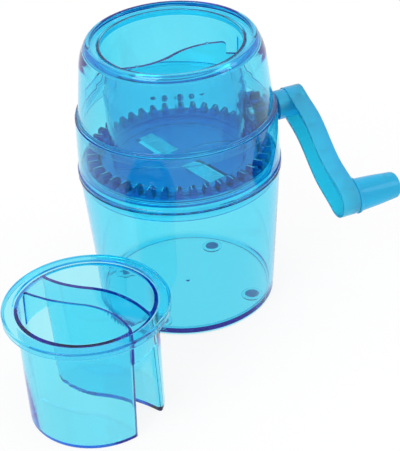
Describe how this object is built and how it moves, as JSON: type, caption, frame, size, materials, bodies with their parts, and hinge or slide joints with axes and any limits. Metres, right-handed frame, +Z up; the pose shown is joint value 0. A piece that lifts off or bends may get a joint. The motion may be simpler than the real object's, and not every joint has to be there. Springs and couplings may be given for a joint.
{
  "type": "ice shaver with crank",
  "caption": "Round see-through ice shaver: a bowl, a geared drive ring with a side crank and cutter plate, a domed hopper with an S-shaped divider, and a separate pusher.",
  "frame": {"origin": "centre of the flat ring that the bowl stands on", "axes": "+Z up along the axis of the bowl, drive ring and hopper; +X along the crank shaft, out of the drive ring"},
  "size_m": [0.2741, 0.2112, 0.19],
  "materials": {
    "clear_blue": "clear and polished",
    "dark_blue": "polished",
    "crank_blue": "polished",
    "steel": "fine brushed",
    "soft_feet": "matt"
  },
  "bodies": {
    "stand": {"bowl": "clear_blue", "bowl_feet": "soft_feet"},
    "drive": {"drive_housing": "clear_blue", "crank_bush": "dark_blue"},
    "crank": {"crank_shaft": "steel", "pinion": "dark_blue", "pinion_washer": "steel", "pinion_screw": "steel", "crank_arm": "crank_blue", "crank_screw": "steel", "knob_washer": "steel", "knob_screw": "steel"},
    "grip": {"knob": "crank_blue", "knob_cap": "crank_blue"},
    "cutter": {"crown_gear": "clear_blue", "blade_1": "steel", "blade_2": "steel", "blade_screws": "steel"},
    "hopper": {"hopper_shell": "clear_blue", "ice_sleeve": "clear_blue", "divider_wall": "clear_blue"},
    "pusher": {"pusher": "clear_blue"}
  },
  "joints": [
    {"name": "housing_lift", "type": "slide", "parent": "stand", "child": "drive", "axis": [0, 0, 1], "range_m": [0, 0.12]},
    {"name": "hopper_lift", "type": "slide", "parent": "drive", "child": "hopper", "axis": [0, 0, 1], "range_m": [0, 0.1]},
    {"name": "crank_turn", "type": "hinge", "parent": "drive", "child": "crank", "pos_m": [0.07, 0, 0.122], "axis": [1, 0, 0], "continuous": true},
    {"name": "cutter_turn", "type": "hinge", "parent": "drive", "child": "cutter", "pos_m": [0, 0, 0.104], "axis": [0, 0, 1], "continuous": true},
    {"name": "knob_spin", "type": "hinge", "parent": "crank", "child": "grip", "pos_m": [0.1, -0.07204, 0.08497], "axis": [1, 0, 0], "continuous": true},
    {"name": "pusher_lift", "type": "slide", "parent": "stand", "child": "pusher", "axis": [0, 0, 1], "range_m": [0, 0.12]}
  ],
  "couplings": [
    {"joint": "cutter_turn", "follows": "crank_turn", "ratio": 0.2}
  ]
}
